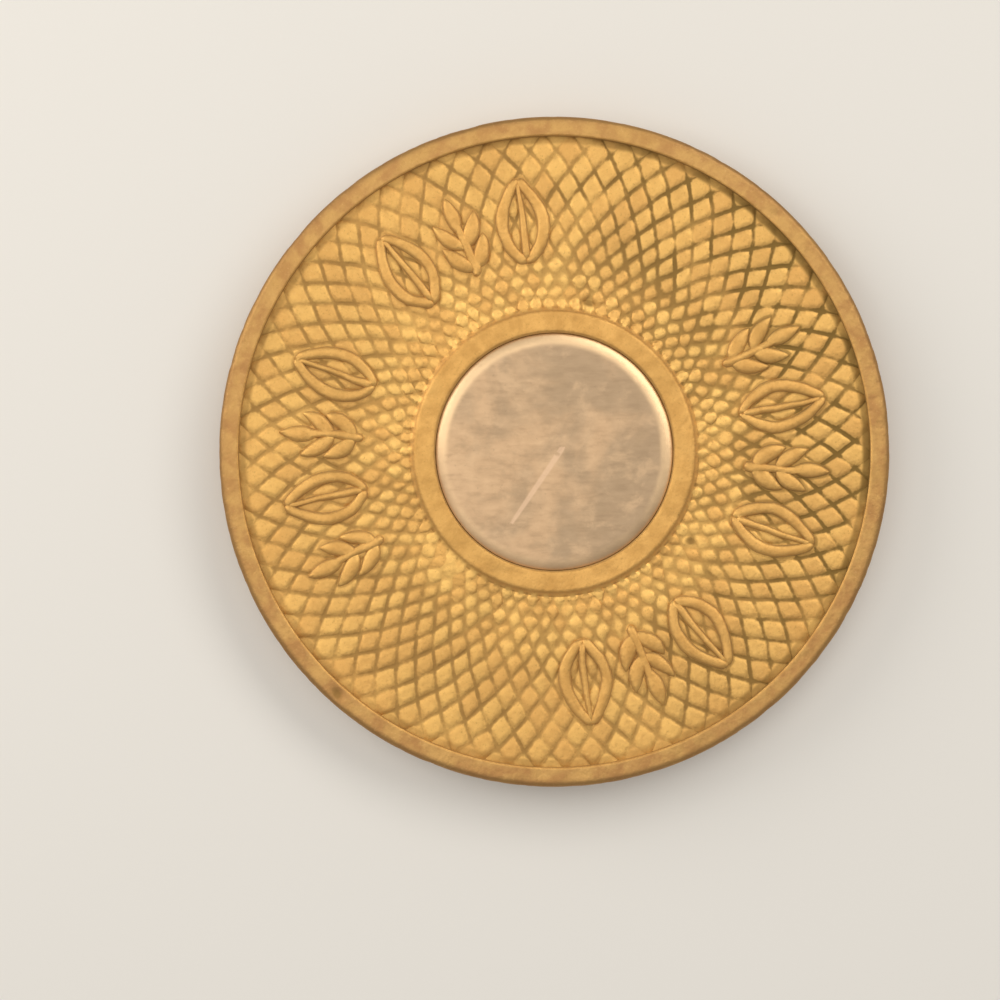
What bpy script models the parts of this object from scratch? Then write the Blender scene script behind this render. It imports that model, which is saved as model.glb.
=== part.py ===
"""A two-metal transit token: a struck brass ring with a steel plug locked in its centre.

The token lies flat with its axis on +Z and its origin at the middle of its thickness. Both faces
carry the same relief: a raised rim, a sunk field with two arcs of ornaments, and a collar round
the plug. The back is the front turned half a turn about the Y axis, as on a struck medal.
"""

import math

import bmesh
import bpy
from mathutils import Matrix, Vector

MM = 0.001

# Driving dimensions.
TOKEN_RADIUS = 11.1 * MM
HALF_THICKNESS = 0.95 * MM
PLUG_RADIUS = 3.92 * MM
SEGMENTS = 120

# Outer ring: the rim, the sunk field and the collar, all as seen on one face.
RIM_WIDTH = 0.60 * MM
RIM_ROUNDING = 0.16 * MM
COLLAR_RADIUS = 4.72 * MM
COLLAR_HEIGHT = HALF_THICKNESS - 0.04 * MM
COLLAR_CHAMFER = 0.05 * MM
FIELD_HEIGHT = HALF_THICKNESS - 0.24 * MM
FLANK_RUN = 0.10 * MM

# Centre plug: its crowned face rolls off into the seam, and a V groove in its edge holds the ring.
SEAM_GAP = 0.02 * MM
LOCK_DEPTH = 0.22 * MM
LOCK_HALF_HEIGHT = 0.28 * MM
CROWN = 0.03 * MM
SHOULDER_WIDTH = 0.46 * MM
SHOULDER_ANGLE = math.radians(30)

# Ornaments: two arcs of eight stations a face, each arc with one station left empty.
ARC_ANGLES = (0.0, math.pi)
STATIONS = 8
EMPTY_STATION = 4
STATION_PITCH = math.radians(15.6)
ORNAMENT_RADIUS = 0.695 * TOKEN_RADIUS
ORNAMENT_LENGTH = 2.88 * MM
ORNAMENT_RISE = 0.15 * MM
ORNAMENT_ROOT = 0.10 * MM
BLADE_STEPS = 8
LEAFLET_STEPS = 4

# Broad leaf: a pointed oval outline with a midrib.
LEAF_WIDTH = 1.80 * MM
LEAF_STROKE = 0.42 * MM
LEAF_HOLE_LENGTH = ORNAMENT_LENGTH - 2.8 * LEAF_STROKE
MIDRIB_WIDTH = 0.26 * MM

# Sprig: a stem with a leaflet at its tip and two pairs beside it.
STEM_WIDTH = 0.30 * MM
LEAFLET_LENGTH = 1.26 * MM
LEAFLET_WIDTH = 0.54 * MM
LEAFLET_ANGLE = math.radians(42)
LEAFLET_ROOTS = (-1.14 * MM, -0.36 * MM)
LEAFLET_DROP = 0.02 * MM


def clear_scene():
    for obj in list(bpy.data.objects):
        bpy.data.objects.remove(obj)


def metal(name, colour, roughness):
    """A plain metal: Principled BSDF with full metallic."""
    material = bpy.data.materials.new(name)
    material.use_nodes = True
    shader = material.node_tree.nodes["Principled BSDF"]
    shader.inputs["Base Color"].default_value = (*colour, 1.0)
    shader.inputs["Metallic"].default_value = 1.0
    shader.inputs["Roughness"].default_value = roughness
    return material


def add_object(name, bm, material=None):
    """Turns a bmesh into an object, shaded smooth except along sharp edges."""
    bmesh.ops.recalc_face_normals(bm, faces=bm.faces)
    mesh = bpy.data.meshes.new(name)
    bm.to_mesh(mesh)
    bm.free()
    obj = bpy.data.objects.new(name, mesh)
    bpy.context.scene.collection.objects.link(obj)
    if material is not None:
        mesh.materials.append(material)
    mesh.shade_smooth()
    mesh.set_sharp_from_angle(angle=math.radians(20))
    return obj


def arc(centre, radius, start, end, steps):
    """Points (r, z) along an arc, both ends included, with angles from the +r direction."""
    angles = [start + (end - start) * i / steps for i in range(steps + 1)]
    return [
        (centre[0] + radius * math.cos(a), centre[1] + radius * math.sin(a))
        for a in angles
    ]


def mirrored(upper):
    """Closes an upper half profile with its own reflection below the middle plane."""
    return upper + [(r, -z) for r, z in reversed(upper) if z > 0]


def turned(name, profile, material):
    """A solid of revolution about Z from a closed (r, z) profile."""
    bm = bmesh.new()
    points = [bm.verts.new((r, 0.0, z)) for r, z in profile]
    edges = [bm.edges.new(pair) for pair in zip(points, points[1:] + points[:1])]
    bmesh.ops.spin(
        bm,
        geom=points + edges,
        cent=(0, 0, 0),
        axis=(0, 0, 1),
        angle=math.tau,
        steps=SEGMENTS,
        use_merge=True,
    )
    bmesh.ops.remove_doubles(bm, verts=bm.verts, dist=0.0005 * MM)
    return add_object(name, bm, material)


def ring_profile():
    """Half profile of the ring, from the locking bead out across the face to the outer edge."""
    bore = PLUG_RADIUS + SEAM_GAP
    rim_inside = TOKEN_RADIUS - RIM_WIDTH
    rim_corner = (TOKEN_RADIUS - RIM_ROUNDING, HALF_THICKNESS - RIM_ROUNDING)
    return mirrored(
        [
            (bore - LOCK_DEPTH, 0.0),
            (bore, LOCK_HALF_HEIGHT),
            (bore, COLLAR_HEIGHT - COLLAR_CHAMFER),
            (bore + COLLAR_CHAMFER, COLLAR_HEIGHT),
            (COLLAR_RADIUS, COLLAR_HEIGHT),
            (COLLAR_RADIUS + FLANK_RUN, FIELD_HEIGHT),
            (rim_inside - FLANK_RUN, FIELD_HEIGHT),
            (rim_inside, HALF_THICKNESS),
        ]
        + arc(rim_corner, RIM_ROUNDING, math.pi / 2, 0.0, 3)
    )


def plug_profile():
    """Half profile of the plug, from the bottom of its groove over the shoulder to its centre."""
    shoulder_radius = SHOULDER_WIDTH / math.sin(SHOULDER_ANGLE)
    flat_radius = PLUG_RADIUS - SHOULDER_WIDTH
    crown_edge = COLLAR_HEIGHT - CROWN
    shoulder = arc(
        (flat_radius, crown_edge - shoulder_radius),
        shoulder_radius,
        math.pi / 2 - SHOULDER_ANGLE,
        math.pi / 2,
        4,
    )
    crown = [
        (flat_radius * share, COLLAR_HEIGHT - CROWN * share**2) for share in (0.66, 0.33, 0.0)
    ]
    groove = [(PLUG_RADIUS - LOCK_DEPTH, 0.0), (PLUG_RADIUS, LOCK_HALF_HEIGHT)]
    return mirrored(groove + shoulder + crown)


def vesica(width, length, steps):
    """A pointed oval about the origin with its points on Y: two equal arcs, counter-clockwise."""
    radius = (length**2 + width**2) / (4 * width)
    sweep = math.asin(length / (2 * radius))
    offset = radius - width / 2
    right = [
        Vector((radius * math.cos(a) - offset, radius * math.sin(a)))
        for a in (sweep * (2 * i / steps - 1) for i in range(steps))
    ]
    return right + [-point for point in right]


def leaflet(side, root):
    """A leaflet outline that leaves the stem at height root and leans out to one side."""
    turn = Matrix.Rotation(-side * LEAFLET_ANGLE, 2)
    middle = Vector((0.0, LEAFLET_LENGTH / 2))
    foot = Vector((0.0, root))
    return [foot + turn @ (point + middle) for point in vesica(LEAFLET_WIDTH, LEAFLET_LENGTH, LEAFLET_STEPS)]


def add_prism(bm, outline, place, top, hole=()):
    """Adds an upright prism on the outline, less an optional hole of the same point count."""
    bottom = FIELD_HEIGHT - ORNAMENT_ROOT
    loops = [
        [bm.verts.new(place @ Vector((*point, z))) for point in loop]
        for loop in (outline, hole)
        for z in (bottom, top)
        if loop
    ]
    walls = [(loops[0], loops[1])]
    if hole:
        walls += [(loops[1], loops[3]), (loops[3], loops[2]), (loops[2], loops[0])]
    else:
        bm.faces.new(loops[1])
        bm.faces.new(loops[0][::-1])
    for low, high in walls:
        for i in range(len(low)):
            bm.faces.new((low[i - 1], low[i], high[i], high[i - 1]))


def add_leaf(bm, place):
    """A broad leaf in outline, with its midrib a little lower than its edge."""
    top = FIELD_HEIGHT + ORNAMENT_RISE
    hole = vesica(LEAF_WIDTH - 2 * LEAF_STROKE, LEAF_HOLE_LENGTH, BLADE_STEPS)
    midrib = vesica(MIDRIB_WIDTH, ORNAMENT_LENGTH - 2 * LEAF_STROKE, LEAFLET_STEPS)
    add_prism(bm, vesica(LEAF_WIDTH, ORNAMENT_LENGTH, BLADE_STEPS), place, top, hole)
    add_prism(bm, midrib, place, top - LEAFLET_DROP)


def add_sprig(bm, place):
    """A stem with two pairs of leaflets and one at its tip."""
    top = FIELD_HEIGHT + ORNAMENT_RISE
    tip = Vector((0.0, (ORNAMENT_LENGTH - LEAFLET_LENGTH) / 2))
    end_leaflet = [point + tip for point in vesica(LEAFLET_WIDTH, LEAFLET_LENGTH, LEAFLET_STEPS)]
    add_prism(bm, vesica(STEM_WIDTH, ORNAMENT_LENGTH, LEAFLET_STEPS), place, top)
    add_prism(bm, end_leaflet, place, top - LEAFLET_DROP / 2)
    for root in LEAFLET_ROOTS:
        for side in (-1, 1):
            add_prism(bm, leaflet(side, root), place, top - LEAFLET_DROP)


def ornaments():
    """All the raised ornaments of both faces, as a helper that the ring is joined with."""
    bm = bmesh.new()
    for face in (Matrix.Identity(4), Matrix.Rotation(math.pi, 4, "Y")):
        for arc_angle in ARC_ANGLES:
            for station in range(STATIONS):
                if station == EMPTY_STATION:
                    continue
                angle = arc_angle + (station - (STATIONS - 1) / 2) * STATION_PITCH
                place = (
                    face
                    @ Matrix.Rotation(-angle, 4, "Z")
                    @ Matrix.Translation((0.0, ORNAMENT_RADIUS, 0.0))
                )
                add = add_leaf if station % 2 else add_sprig
                add(bm, place)
    helper = add_object("ornament_helper", bm)
    helper.hide_render = True
    helper.display_type = "WIRE"
    return helper


def build():
    clear_scene()
    brass = metal("brass", (0.73, 0.49, 0.18), 0.42)
    steel = metal("steel", (0.60, 0.57, 0.53), 0.36)
    ring = turned("outer_ring", ring_profile(), brass)
    join = ring.modifiers.new("raised ornaments", "BOOLEAN")
    join.operation = "UNION"
    join.solver = "EXACT"
    join.use_self = True
    join.object = ornaments()
    turned("centre_plug", plug_profile(), steel)


build()
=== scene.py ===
"""The looks of a two-metal transit token: a struck brass ring round a steel plug.

Each face of the ring is engraved with a lattice of curved lines, and raised leaves and sprigs stand
on it. The plug has a rounded shoulder and one cut scratch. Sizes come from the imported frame.
"""

import math

import bmesh
import bpy
import numpy as np
from mathutils import Euler, Matrix, Vector, noise


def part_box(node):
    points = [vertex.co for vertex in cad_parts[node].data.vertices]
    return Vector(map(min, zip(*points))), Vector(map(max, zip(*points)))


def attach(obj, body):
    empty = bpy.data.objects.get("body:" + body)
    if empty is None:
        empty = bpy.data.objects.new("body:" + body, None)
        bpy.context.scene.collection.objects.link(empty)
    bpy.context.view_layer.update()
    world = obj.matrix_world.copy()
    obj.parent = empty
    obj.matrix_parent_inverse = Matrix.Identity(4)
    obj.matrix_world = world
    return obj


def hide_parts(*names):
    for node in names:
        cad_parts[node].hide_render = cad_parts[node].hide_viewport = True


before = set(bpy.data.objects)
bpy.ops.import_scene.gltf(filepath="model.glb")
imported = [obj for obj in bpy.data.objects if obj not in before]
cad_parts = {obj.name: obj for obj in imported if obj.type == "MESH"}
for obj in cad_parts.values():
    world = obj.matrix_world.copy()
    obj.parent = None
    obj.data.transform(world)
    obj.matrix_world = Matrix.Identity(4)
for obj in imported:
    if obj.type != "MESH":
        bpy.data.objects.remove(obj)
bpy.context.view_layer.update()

MM = 0.001
TOKEN_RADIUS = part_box("outer_ring")[1].x
HALF_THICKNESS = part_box("outer_ring")[1].z
PLUG_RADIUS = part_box("centre_plug")[1].x
PLUG_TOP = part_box("centre_plug")[1].z
FRONT = 1
BACK = -1

# The ring's profile. Its flat tops have extra circles of mesh points, at shares of their width.
BORE = PLUG_RADIUS + 0.02 * MM
BORE_ROUNDING = 0.10 * MM
LOCK_DEPTH = 0.22 * MM
LOCK_HALF_HEIGHT = 0.28 * MM
COLLAR_RADIUS = 4.72 * MM
COLLAR_TOP = HALF_THICKNESS - 0.04 * MM
COLLAR_ROUNDING = 0.16 * MM
COLLAR_CIRCLES = (0.25, 0.42, 0.58, 0.75)
FIELD_TOP = HALF_THICKNESS - 0.20 * MM
RIM_INSIDE = TOKEN_RADIUS - 0.66 * MM
RIM_INNER_ROUNDING = 0.07 * MM
RIM_ROUNDING = 0.20 * MM
RIM_CIRCLES = (0.15, 0.28, 0.39, 0.50, 0.60)
EDGE_CIRCLES = (0.45, 0.0)

# The plug's profile.
PLUG_CROWN = 0.03 * MM
PLUG_SHOULDER = 0.46 * MM
PLUG_FLAT_RADIUS = PLUG_RADIUS - PLUG_SHOULDER
PLUG_SHOULDER_ANGLE = math.radians(28)
PLUG_CIRCLES = 16
PLUG_COLUMNS = 168

# Engraved lattice. Every line is an arc of a circle whose centre stands off the token's axis.
LINES = 70
LINE_RADIUS = 0.990 * TOKEN_RADIUS
LINE_OFFSET = 0.852 * TOKEN_RADIUS
ROW_PHASE = 0.37
INNER_ROW = 18.125
OUTER_ROW = 12.625
STEPS = 8
COLUMNS = LINES * STEPS
LATTICE_TURN = 6 * math.tau / COLUMNS
CROWDING = 0.5
CROWDING_MARGIN = 4

# The lattice's relief: grooves with diamonds between them, which turn into beads by the collar.
GROOVE_FLOOR = 0.005 * MM
GROOVE_EDGE = 0.13 * MM
GROOVE_DEPTH = 0.055 * MM
GROOVE_STRENGTH = 0.85
GROOVE_VARIETY = 0.5
CORNER_REACH = 0.625
CORNER_WEAR = 0.55
DIAMOND_VARIETY = 0.1
DIAMOND_LEAN = 0.012 * MM
BEAD_RADIUS = 0.25 * MM
BEAD_WIDTH_VARIETY = 0.4
BEAD_HEIGHT_VARIETY = 0.6
ALL_BEADS = 0.50 * TOKEN_RADIUS
ALL_DIAMONDS = 0.68 * TOKEN_RADIUS
LEAN_U, LEAN_V, TONE, DIAMOND, BEAD_WIDTH, BEAD_HEIGHT, GROOVE_U, GROOVE_V = range(1, 9)

# Ornaments: two arcs of eight stations a face, each arc with one station left empty.
ARC_ANGLES = (0.0, math.pi)
STATIONS = 8
EMPTY_STATION = 4
STATION_PITCH = math.radians(15.6)
ORNAMENT_RADIUS = 0.695 * TOKEN_RADIUS
ORNAMENT_LENGTH = 2.88 * MM
ORNAMENT_TOP = HALF_THICKNESS - 0.09 * MM
STROKE_SPRING = HALF_THICKNESS - 0.32 * MM
STROKE_ROOT = HALF_THICKNESS - 0.42 * MM
STROKE_STEPS = 8
STROKE_SQUARENESS = 3.2
LEAF_WIDTH = 1.80 * MM
LEAF_STROKE = 0.44 * MM
MIDRIB_HALF_WIDTH = 0.15 * MM
MIDRIB_BOW = 0.04 * MM
STEM_HALF_WIDTH = 0.18 * MM
STEM_BOW = 0.05 * MM
LEAFLET_LENGTH = 1.28 * MM
LEAFLET_WIDTH = 0.56 * MM
LEAFLET_ANGLE = math.radians(42)
LEAFLET_CURL = 0.30
LEAFLET_ROOTS = (-1.14 * MM, -0.36 * MM)

# The scratch on the plug's front.
SCRATCH_START = (-0.24 * MM, 0.18 * MM)
SCRATCH_END = (2.72 * MM, -0.16 * MM)
SCRATCH_BOW = 0.03 * MM
SCRATCH_HALF_WIDTH = 0.08 * MM
SCRATCH_DEPTH = 0.005 * MM
SCRATCH_FADING = 0.03 * MM

# Clock angles in the camera's view: where the plug's shoulder has its painted highlight, the side
# towards which the plug's flat is paler, and the side on which the brass's grime and painted shade are
# darker.
SHOULDER_HIGHLIGHT_CLOCK = 12
PALE_CLOCK = 250
DARKER_SIDE_CLOCK = 75

# Wear: unevenness, the metal rubbed off the collar, the rubbed edge and the shifted engraving.
RING_WEAR = 0.012 * MM
PLUG_WEAR = 0.009 * MM
WEAR_SIZE = 1.1 * MM
FINE_WEAR_SIZE = 0.35 * MM
RING_WEAR_SEED = 3
PLUG_WEAR_SEED = 11
SMEAR_RADIUS = 0.47 * TOKEN_RADIUS
SMEAR_ANGLE = math.radians(-14.5)
SMEAR_REACH = 0.55 * MM
SMEAR_SPREAD = math.radians(13)
EDGE_RUB = 0.028 * MM
DRIFT_SIZE = 0.55 * MM
DRIFT_MARGIN = 0.3 * MM
INNER_DRIFT = 0.09 * MM
OUTER_DRIFT = 0.04 * MM

# Marks of handling, as (face, radius, angle, half length, half width, heading, depth). Lengths are
# in millimetres and angles in degrees. Heading 0 is an outward mark, and 90 one round the token.
PLAIN_MARKS = [
    (FRONT, 10.76, -14.4, 0.20, 0.14, 70, 0.09),
    (FRONT, 10.72, 164.1, 0.17, 0.08, 0, 0.05),
    (FRONT, 5.06, 194.3, 0.22, 0.12, 90, 0.08),
    (FRONT, 5.41, 84.2, 0.18, 0.15, 0, 0.07),
    (FRONT, 4.28, 6.0, 0.55, 0.07, 105, 0.035),
]
DIRTY_DEPTH = 0.06

# Random marks of each face, as (how many, inner radius, reach outwards, ..., depth). Between those
# stand the least half width and its spread for the rim, whose marks are twice as long as wide, and
# the half length and half width for the collar and the field.
MARK_SEED = 11
RIM_MARKS = (34, 10.5, 0.55, 0.08, 0.14, 0.022)
SHALLOW_MARKS = ((12, 4.0, 0.7, 0.26, 0.08, 0.014), (26, 5.2, 4.8, 0.22, 0.14, 0.03))

# Brass colours, as linear red, green and blue.
DIAMOND_DULL = (0.685, 0.395, 0.125)
DIAMOND_BRIGHT = (0.78, 0.48, 0.153)
BEAD_DULL = (0.76, 0.44, 0.138)
BEAD_BRIGHT = (0.90, 0.57, 0.185)
FIGURE_BRIGHT = (0.745, 0.435, 0.139)
FIGURE_DULL = (0.62, 0.35, 0.107)
RIM_BRIGHT = (0.585, 0.35, 0.124)
RIM_DULL = (0.48, 0.258, 0.097)
# Tarnish and painted shade at the rim's rounded outer edge.
EDGE_TARNISH_AND_SHADE = (0.36, 0.20, 0.08)
CLOUD_TARNISH = (0.55, 0.33, 0.105)
DARK_GRAIN = (0.44, 0.26, 0.08)
LIGHT_GRAIN = (0.93, 0.66, 0.30)
DARK_STREAK = (0.42, 0.25, 0.08)
# Painted light: a paler, less orange tint for steep walls.
WALL_PAINTED_LIGHT = (0.60, 0.41, 0.18)
# Grime, also used as painted shade at the foot of the figures, the rim and the seam; paler on one side
# of the token, darker on the other.
PALER_GRIME_AND_SHADE = (0.35, 0.20, 0.055)
DARKER_GRIME_AND_SHADE = (0.25, 0.15, 0.035)

# Steel colours.
STEEL_PALE = (0.61, 0.42, 0.255)
STEEL_GREY = (0.46, 0.33, 0.21)
STEEL_STAIN = (0.42, 0.305, 0.195)
STEEL_BLOOM = (0.66, 0.46, 0.28)
STEEL_SPECK = (0.36, 0.26, 0.17)
# Painted highlight on the plug's shoulder.
STEEL_SHOULDER_HIGHLIGHT = (0.84, 0.60, 0.355)
STEEL_SCRATCH = (0.70, 0.49, 0.33)

# The stage. A light is given by its clock angle in the view, its height above the token's plane in
# degrees, its distance, width and height in metres, and its power in watts.
FLOOR_HALF_SIZE = 1.5
FLOOR_GAP = 0.002 * MM
FLOOR_COLOUR = (0.78, 0.77, 0.75)
FLOOR_ROUGHNESS = 0.7
LIGHTS = {
    "key": (295, 29, 0.12, 0.085, 0.085, 0.050),
    "crescent": (46, 45, 0.16, 0.19, 0.07, 0.096),
    "overhead": (275, 79, 0.25, 0.24, 0.24, 0.170),
}
LIGHT_COLOUR = (1.0, 0.94, 0.85)
SKY_COLOUR = (1.0, 0.97, 0.92)
SKY_STRENGTH = 0.42

# The camera: how far the token's axis stands from the middle of the view, and the view's roll.
LENS = 85
VIEW_WIDTH = 3.012 * TOKEN_RADIUS
VIEW_RIGHT = 0.162 * TOKEN_RADIUS
VIEW_UP = 0.144 * TOKEN_RADIUS
VIEW_ROLL = math.radians(117.5)


# Helpers.


def add_mesh(name, vertices, faces):
    mesh = bpy.data.meshes.new(name)
    mesh.from_pydata(vertices, [], faces)
    obj = bpy.data.objects.new(name, mesh)
    bpy.context.scene.collection.objects.link(obj)
    return obj


def arc(centre, radius, start, end, steps):
    """Points (r, z) along an arc, both ends included."""
    angles = np.linspace(start, end, steps + 1)
    return [(centre[0] + radius * math.cos(a), centre[1] + radius * math.sin(a)) for a in angles]


def positions(mesh):
    flat = np.empty(len(mesh.vertices) * 3)
    mesh.vertices.foreach_get("co", flat)
    return flat.reshape(-1, 3)


def set_positions(mesh, points):
    mesh.vertices.foreach_set("co", points.ravel())
    mesh.update()


def set_attribute(mesh, name, values):
    layer = mesh.attributes.new(name, "FLOAT", "POINT")
    layer.data.foreach_set("value", values.astype(np.float32))


def axis_distance(points):
    return np.hypot(points[:, 0], points[:, 1])


def direction(angle):
    return np.array([math.cos(angle), math.sin(angle)])


def ramp(value, low, high):
    """Smooth step from 0 at low to 1 at high."""
    t = np.clip((value - low) / (high - low), 0, 1)
    return t * t * (3 - 2 * t)


def noise_at(points, size, shift=(0, 0, 0)):
    """A number from about -1 to 1 for each point, from smooth noise whose blotches have this size."""
    return np.array([noise.noise(Vector(point) / size + Vector(shift)) for point in points])


def across_view(clock):
    """The direction in the token's plane that the camera sees at this clock angle from up."""
    angle = VIEW_ROLL + math.pi / 2 - math.radians(clock)
    return Vector((math.cos(angle), math.sin(angle), 0.0))


def doubled(obj):
    """Adds the other face: the same half turned over about Y, welded where the halves meet."""
    bm = bmesh.new()
    bm.from_mesh(obj.data)
    made = bmesh.ops.duplicate(bm, geom=bm.verts[:] + bm.edges[:] + bm.faces[:])["geom"]
    copied = [item for item in made if isinstance(item, bmesh.types.BMVert)]
    bmesh.ops.rotate(bm, verts=copied, cent=(0, 0, 0), matrix=Matrix.Rotation(math.pi, 3, "Y"))
    bmesh.ops.remove_doubles(bm, verts=bm.verts, dist=0.0002 * MM)
    bmesh.ops.recalc_face_normals(bm, faces=bm.faces)
    bm.to_mesh(obj.data)
    bm.free()


def combined(obj, operation, others):
    """Replaces obj's mesh by the Boolean of it and each of the others in turn, and removes those."""
    for other in others:
        step = obj.modifiers.new(other.name, "BOOLEAN")
        step.operation = operation
        step.solver = "MANIFOLD"
        step.object = other
    graph = bpy.context.evaluated_depsgraph_get()
    result = bpy.data.meshes.new_from_object(obj.evaluated_get(graph), depsgraph=graph)
    obj.modifiers.clear()
    obj.data = result
    for other in others:
        bpy.data.objects.remove(other)


def finish_surface(obj, sharp_degrees, material):
    mesh = obj.data
    mesh.materials.clear()
    mesh.materials.append(material)
    mesh.polygons.foreach_set("material_index", np.zeros(len(mesh.polygons), np.int32))
    mesh.shade_smooth()
    mesh.set_sharp_from_angle(angle=math.radians(sharp_degrees))


# The engraved lattice.


def row_cosine(radius):
    """Cosine of the angle, seen from the axis, between a line's point at this radius and its centre."""
    return (radius**2 + LINE_OFFSET**2 - LINE_RADIUS**2) / (2 * radius * LINE_OFFSET)


def row_at(radius):
    """How many line pitches round the token a line has turned when it reaches this radius."""
    return np.arccos(np.clip(row_cosine(radius), -1, 1)) * LINES / math.tau - ROW_PHASE


def radius_at(row):
    """The radius at which row_at gives this row."""
    angle = (row + ROW_PHASE) * math.tau / LINES
    along = LINE_OFFSET * np.cos(angle)
    return along + np.sqrt(LINE_RADIUS**2 - (LINE_OFFSET * np.sin(angle)) ** 2)


def row_gradient(radius):
    """How many rows pass in a metre outwards, as a positive number."""
    change = (radius**2 - LINE_OFFSET**2 + LINE_RADIUS**2) / (2 * radius**2 * LINE_OFFSET)
    sine = np.sqrt(1 - np.clip(row_cosine(radius), -0.99, 0.99) ** 2)
    return change / sine * LINES / math.tau


def lattice_phases(x, y):
    """Counts across the two families of lines. Each is a whole number on a line of its family."""
    around = (np.arctan2(y, x) + LATTICE_TURN) * LINES / math.tau
    row = row_at(np.hypot(x, y))
    return around + row, around - row


def scrambled(first, second, seed):
    """An even spread of numbers from -0.5 to 0.5, one for each pair of whole numbers."""
    mixed = np.sin(first * 12.9898 + second * 78.233 + seed * 37.719) * 43758.5453
    return mixed - np.floor(mixed) - 0.5


def diamond_number(u, v, seed):
    """One number from -0.5 to 0.5 for each diamond of the lattice."""
    return scrambled(np.floor(u) % LINES, np.floor(v) % LINES, seed)


def groove(across, along, pitch, seed):
    """0 on a line of the family counted by across, 1 off it, and fainter between some diamonds."""
    line = np.round(across)
    chance = scrambled(line % LINES, np.floor(along) % LINES, seed)
    strength = np.minimum(GROOVE_STRENGTH + GROOVE_VARIETY * chance, 1)
    return 1 - strength * (1 - ramp(np.abs(across - line) * pitch, GROOVE_FLOOR, GROOVE_EDGE))


def off_middle(phase):
    """How far a phase is from halfway between two lines, from -0.5 to 0.5."""
    return phase - np.floor(phase) - 0.5


def cut_diamond(u, v, radius, reach):
    """Height of a diamond between its grooves, worn down towards its sharp corners."""
    columns = LINES / (math.tau * radius)
    pitch = 1 / np.hypot(row_gradient(radius), columns)
    corner = CORNER_REACH / columns
    top = 1 - CORNER_WEAR * ramp(reach, 0.72 * corner, 1.12 * corner)
    height = 1 + DIAMOND_VARIETY * diamond_number(u, v, DIAMOND)
    return groove(u, v, pitch, GROOVE_U) * groove(v, u, pitch, GROOVE_V) * top * height


def round_bead(u, v, reach):
    """Height of a bead, each with a width and a height of its own."""
    width = BEAD_RADIUS * (1 + BEAD_WIDTH_VARIETY * diamond_number(u, v, BEAD_WIDTH))
    height = 1 + BEAD_HEIGHT_VARIETY * diamond_number(u, v, BEAD_HEIGHT)
    return (1 - ramp(reach, 0.4 * width, 1.05 * width)) * height


def beaded(radius):
    """How far the diamonds have turned into beads: 0 in the field's outer part, 1 by the collar."""
    return 1 - ramp(radius, ALL_BEADS, ALL_DIAMONDS)


def diamond_crown(u, v, radius):
    """Height over the field's ground: 0 in a groove and about 1 on a diamond's or a bead's top."""
    wide = (off_middle(u) + off_middle(v)) * math.tau * radius / LINES
    tall = (off_middle(u) - off_middle(v)) / row_gradient(radius)
    reach = np.hypot(wide, tall) / 2
    diamond = cut_diamond(u, v, radius, reach)
    return diamond + beaded(radius) * (round_bead(u, v, reach) - diamond)


def lattice_height(u, v, radius):
    """Height of the engraved field, whose diamonds lean a little, each its own way."""
    crown = diamond_crown(u, v, radius)
    lean_u = diamond_number(u, v, LEAN_U) * off_middle(u)
    lean_v = diamond_number(u, v, LEAN_V) * off_middle(v)
    return FIELD_TOP - GROOVE_DEPTH * (1 - crown) + crown * DIAMOND_LEAN * (lean_u + lean_v)


def crowded(count, share):
    """Phase of the mesh line with this number, drawn towards the nearest groove by a share."""
    phase = count / STEPS
    return phase - share * CROWDING * np.sin(math.tau * phase) / math.tau


def field_grid(rows):
    """Phases of the field's mesh points, row by row from the collar out, crowded along the grooves."""
    i = np.arange(rows)[:, None]
    j = np.arange(COLUMNS)[None, :]
    share = np.clip(np.minimum(i, rows - 1 - i) / CROWDING_MARGIN, 0, 1)
    first = INNER_ROW * STEPS - i
    return crowded(j + first, share), crowded(j - first, share)


# The ring.


def collar_rows():
    """(r, z) of the upper half from the locking bead to the collar's rounded outer corner."""
    corner = (BORE + BORE_ROUNDING, COLLAR_TOP - BORE_ROUNDING)
    outside = (COLLAR_RADIUS - COLLAR_ROUNDING, COLLAR_TOP - COLLAR_ROUNDING)
    rows = [(BORE - LOCK_DEPTH, 0.0), (BORE, LOCK_HALF_HEIGHT)]
    rows += arc(corner, BORE_ROUNDING, math.pi, math.pi / 2, 3)
    rows += [(BORE + share * (COLLAR_RADIUS - BORE), COLLAR_TOP) for share in COLLAR_CIRCLES]
    return rows + arc(outside, COLLAR_ROUNDING, math.pi / 2, math.pi / 5, 3)


def rim_rows():
    """(r, z) of the upper half from the rim's rounded inner corner to the middle of the edge."""
    inside = (RIM_INSIDE + RIM_INNER_ROUNDING, HALF_THICKNESS - RIM_INNER_ROUNDING)
    corner = (TOKEN_RADIUS - RIM_ROUNDING, HALF_THICKNESS - RIM_ROUNDING)
    rows = arc(inside, RIM_INNER_ROUNDING, math.pi * 0.8, math.pi / 2, 2)
    rows += [(RIM_INSIDE + share * (TOKEN_RADIUS - RIM_INSIDE), HALF_THICKNESS) for share in RIM_CIRCLES]
    rows += arc(corner, RIM_ROUNDING, math.pi / 2, 0.0, 4)
    return rows + [(TOKEN_RADIUS, HALF_THICKNESS * share) for share in EDGE_CIRCLES]


def ring_rows():
    """(r, z) of the upper half from the bore to the edge, and the slice of them that is the field."""
    steps = round((INNER_ROW - OUTER_ROW) * STEPS)
    inner = collar_rows()
    field = [(radius_at(INNER_ROW - i / STEPS), FIELD_TOP) for i in range(steps + 1)]
    return inner + field + rim_rows(), slice(len(inner), len(inner) + len(field))


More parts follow.
